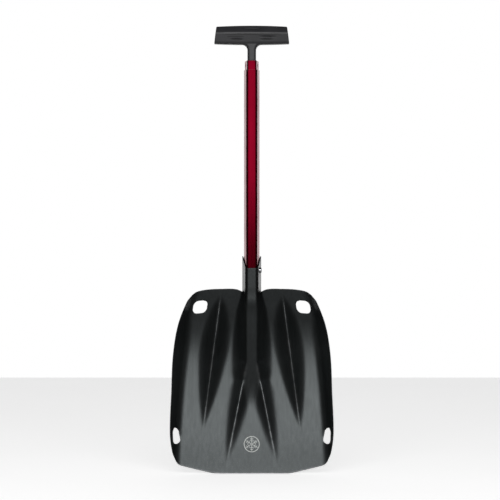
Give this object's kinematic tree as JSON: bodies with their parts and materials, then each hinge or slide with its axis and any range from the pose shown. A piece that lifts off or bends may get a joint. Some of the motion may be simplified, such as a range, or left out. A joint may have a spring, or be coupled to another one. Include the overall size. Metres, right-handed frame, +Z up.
{
  "type": "avalanche shovel",
  "caption": "Take-apart avalanche shovel: pressed scoop blade with ridges and corner holes, telescoping trapezoidal shaft with push-button locks, and a T-grip.",
  "frame": {"origin": "under the middle of the shovel, on the surface that the digging edge stands on, with half of the overall depth in front of it and half behind", "axes": "+Z up the shaft to the grip, +X to the right across the blade, -Y out of the hollow of the blade"},
  "size_m": [0.2448, 0.0584, 0.6718],
  "materials": {
    "black_anodised_sheet": "satin black anodised",
    "red_anodised_tube": "satin red anodised",
    "charcoal_plastic": "fine moulded texture",
    "black_nylon": "matte",
    "polished_steel": "polished",
    "spring_steel": "bright rolled strip"
  },
  "bodies": {
    "blade_assembly": {"blade": "black_anodised_sheet", "socket_back_plate": "black_anodised_sheet"},
    "lower_shaft_assembly": {"lower_shaft": "red_anodised_tube", "lower_shaft_plug": "black_nylon", "blade_lock_spring": "spring_steel"},
    "blade_lock": {"blade_lock_button": "polished_steel"},
    "upper_shaft_assembly": {"upper_shaft": "red_anodised_tube", "upper_shaft_guide": "black_nylon", "shaft_lock_spring": "spring_steel", "grip_body": "charcoal_plastic", "grip_end_cap_left": "charcoal_plastic", "grip_end_cap_right": "charcoal_plastic", "grip_pin": "polished_steel"},
    "shaft_lock": {"shaft_lock_button": "polished_steel"}
  },
  "joints": [
    {"name": "blade_release", "type": "slide", "parent": "blade_assembly", "child": "lower_shaft_assembly", "axis": [0, 0, 1], "range_m": [0, 0.09], "deforming": ["blade_lock_button", "blade_lock_spring"]},
    {"name": "shaft_extension", "type": "slide", "parent": "lower_shaft_assembly", "child": "upper_shaft_assembly", "axis": [0, 0, 1], "range_m": [0, 0.2], "deforming": ["shaft_lock_button", "shaft_lock_spring"]},
    {"name": "blade_lock_press", "type": "slide", "parent": "lower_shaft_assembly", "child": "blade_lock", "axis": [-0.9866, 0.1632, 0], "range_m": [0, 0.0052], "stiffness_N_per_m": 1500},
    {"name": "shaft_lock_press", "type": "slide", "parent": "upper_shaft_assembly", "child": "shaft_lock", "axis": [0, -1, 0], "range_m": [0, 0.005], "stiffness_N_per_m": 1500}
  ]
}
